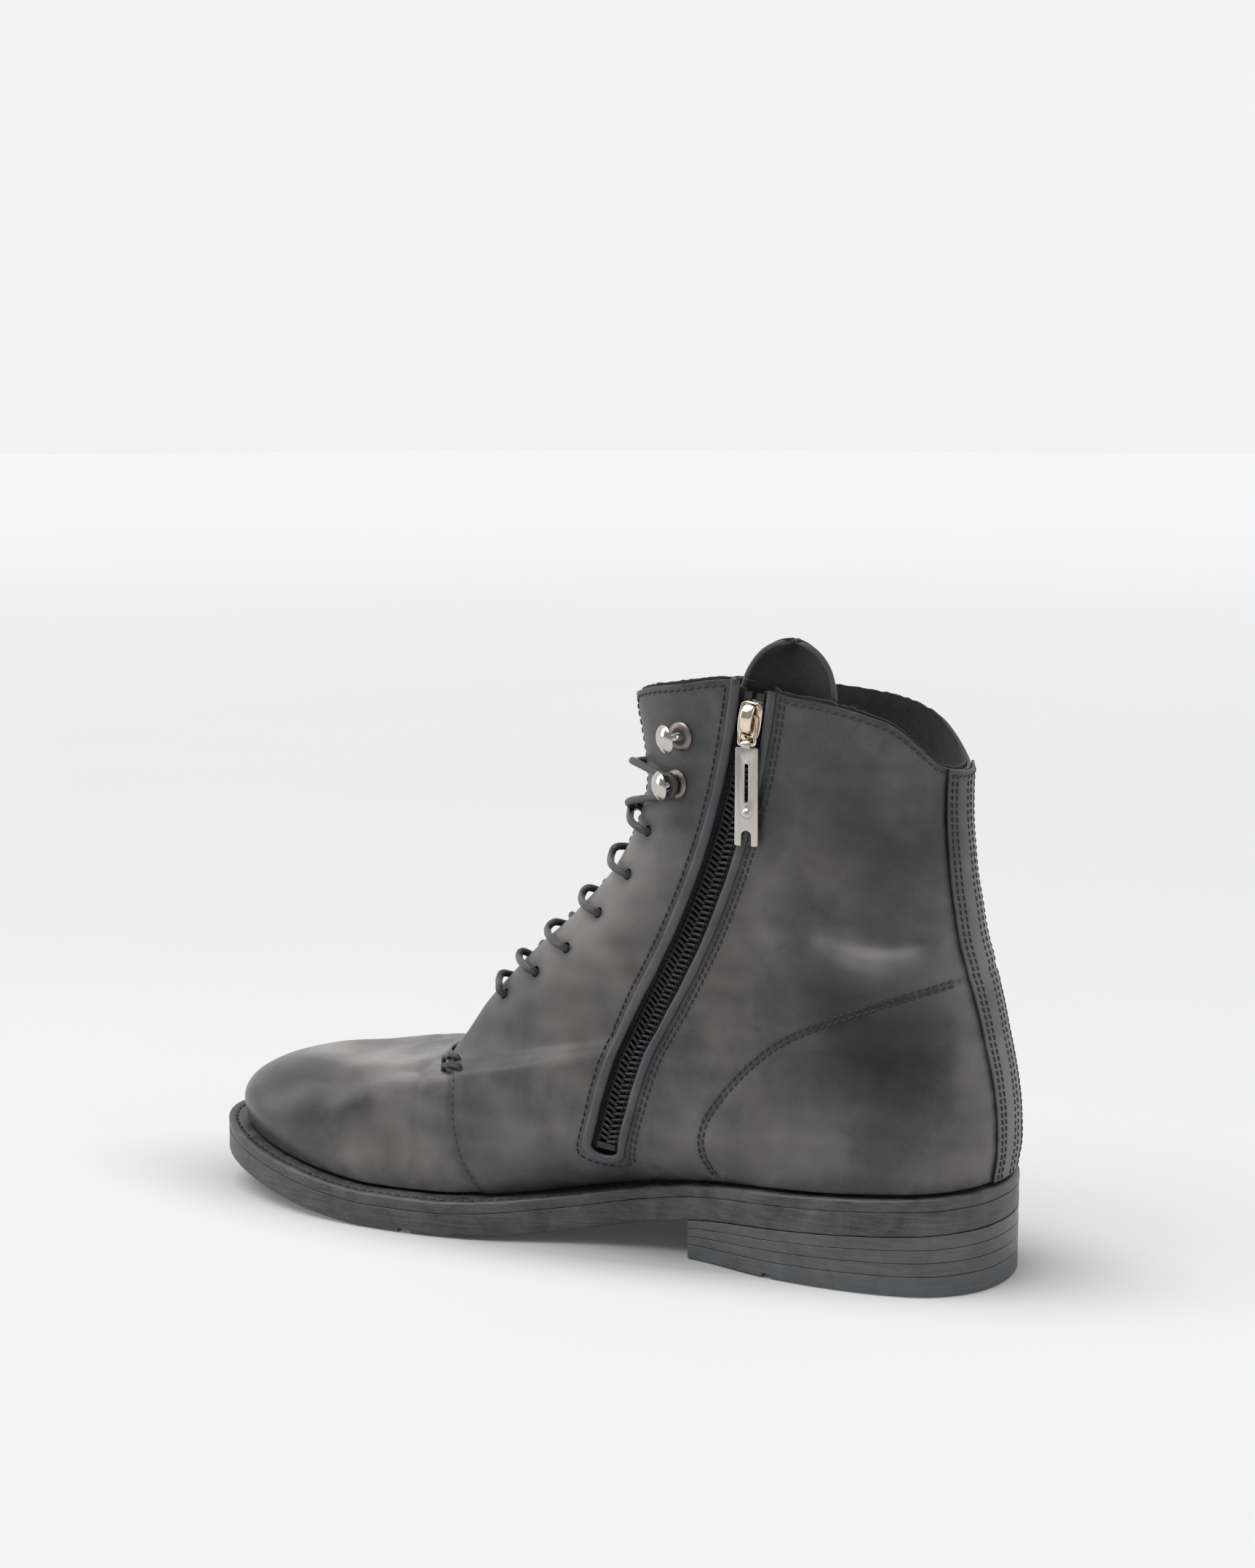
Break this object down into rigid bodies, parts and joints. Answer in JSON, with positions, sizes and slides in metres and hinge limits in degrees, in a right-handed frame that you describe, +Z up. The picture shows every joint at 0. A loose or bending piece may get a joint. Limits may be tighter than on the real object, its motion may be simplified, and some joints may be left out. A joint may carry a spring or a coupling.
{
  "type": "ankle boot",
  "caption": "Lace-up leather ankle boot with a welted sole, a stacked heel, speed hooks and a curved side zip with a hanging metal pull.",
  "frame": {"origin": "on the ground under the middle of the boot's bounding box", "axes": "+Y from the heel to the toe, +X to the outer (lateral) side, +Z up"},
  "size_m": [0.093, 0.2974, 0.208],
  "materials": {
    "upper_leather": "waxed, semi-gloss, mottled anthracite",
    "suede_lining": "black suede",
    "sole_leather": "burnished dark grey edge",
    "lift_rubber": "smooth blue-grey",
    "insole_board": "plain veg-tanned board",
    "cork": "granular cork",
    "stiffener": "stiffened canvas",
    "steel": "plain steel",
    "polished_nickel": "polished warm nickel",
    "brushed_nickel": "brushed nickel",
    "zip_tape": "black woven tape",
    "zip_coil": "black nylon coil",
    "waxed_lace": "black waxed cotton",
    "thread": "black waxed thread"
  },
  "bodies": {
    "boot": {"outsole": "sole_leather", "heel_lift_1": "sole_leather", "heel_lift_2": "sole_leather", "heel_lift_3": "sole_leather", "welt": "sole_leather", "top_lift": "lift_rubber", "cork_filler": "cork", "shank": "steel", "insole_board": "insole_board", "sock_liner": "suede_lining", "quarter_medial": "upper_leather", "quarter_lateral": "upper_leather", "vamp": "upper_leather", "back_strip": "upper_leather", "zip_roll": "upper_leather", "quarter_lining_medial": "suede_lining", "quarter_lining_lateral": "suede_lining", "vamp_lining": "suede_lining", "zip_guard": "suede_lining", "toe_puff": "stiffener", "heel_counter": "stiffener", "zip_tape_front": "zip_tape", "zip_tape_rear": "zip_tape", "zip_coil_front": "zip_coil", "zip_coil_rear": "zip_coil", "zip_top_stop_front": "brushed_nickel", "zip_top_stop_rear": "brushed_nickel", "zip_bottom_stop": "brushed_nickel", "lace": "waxed_lace", "aglet_medial": "steel", "aglet_lateral": "steel", "bar_tack_medial": "thread", "bar_tack_lateral": "thread", "heel_nail_1": "steel", "heel_nail_2": "steel", "heel_nail_3": "steel", "heel_nail_4": "steel", "heel_nail_5": "steel", "hook_medial_lower": "polished_nickel", "hook_washer_medial_lower": "steel", "hook_medial_upper": "polished_nickel", "hook_washer_medial_upper": "steel", "hook_lateral_lower": "polished_nickel", "hook_washer_lateral_lower": "steel", "hook_lateral_upper": "polished_nickel", "hook_washer_lateral_upper": "steel"},
    "slider": {"zip_slider": "polished_nickel"},
    "link": {"zip_link": "brushed_nickel"},
    "pull": {"pull_tab": "brushed_nickel", "pull_rivet": "polished_nickel"},
    "tongue": {"tongue": "upper_leather"}
  },
  "joints": [
    {"name": "slider_travel", "type": "hinge", "parent": "boot", "child": "slider", "pos_m": [-0.03245, 0.20089, 0.22157], "axis": [1, 0, 0], "range_deg": [0, 16]},
    {"name": "link_swing", "type": "hinge", "parent": "slider", "child": "link", "pos_m": [-0.0366, -0.06651, 0.18415], "axis": [0, 1, 0], "range_deg": [0, 115]},
    {"name": "pull_swing", "type": "hinge", "parent": "link", "child": "pull", "pos_m": [-0.0379, -0.06651, 0.17535], "axis": [0, 1, 0], "range_deg": [0, 60]},
    {"name": "tongue_tilt", "type": "hinge", "parent": "boot", "child": "tongue", "pos_m": [-0.00261, 0.04318, 0.0578], "axis": [1, 0, 0], "range_deg": [0, 8]}
  ]
}
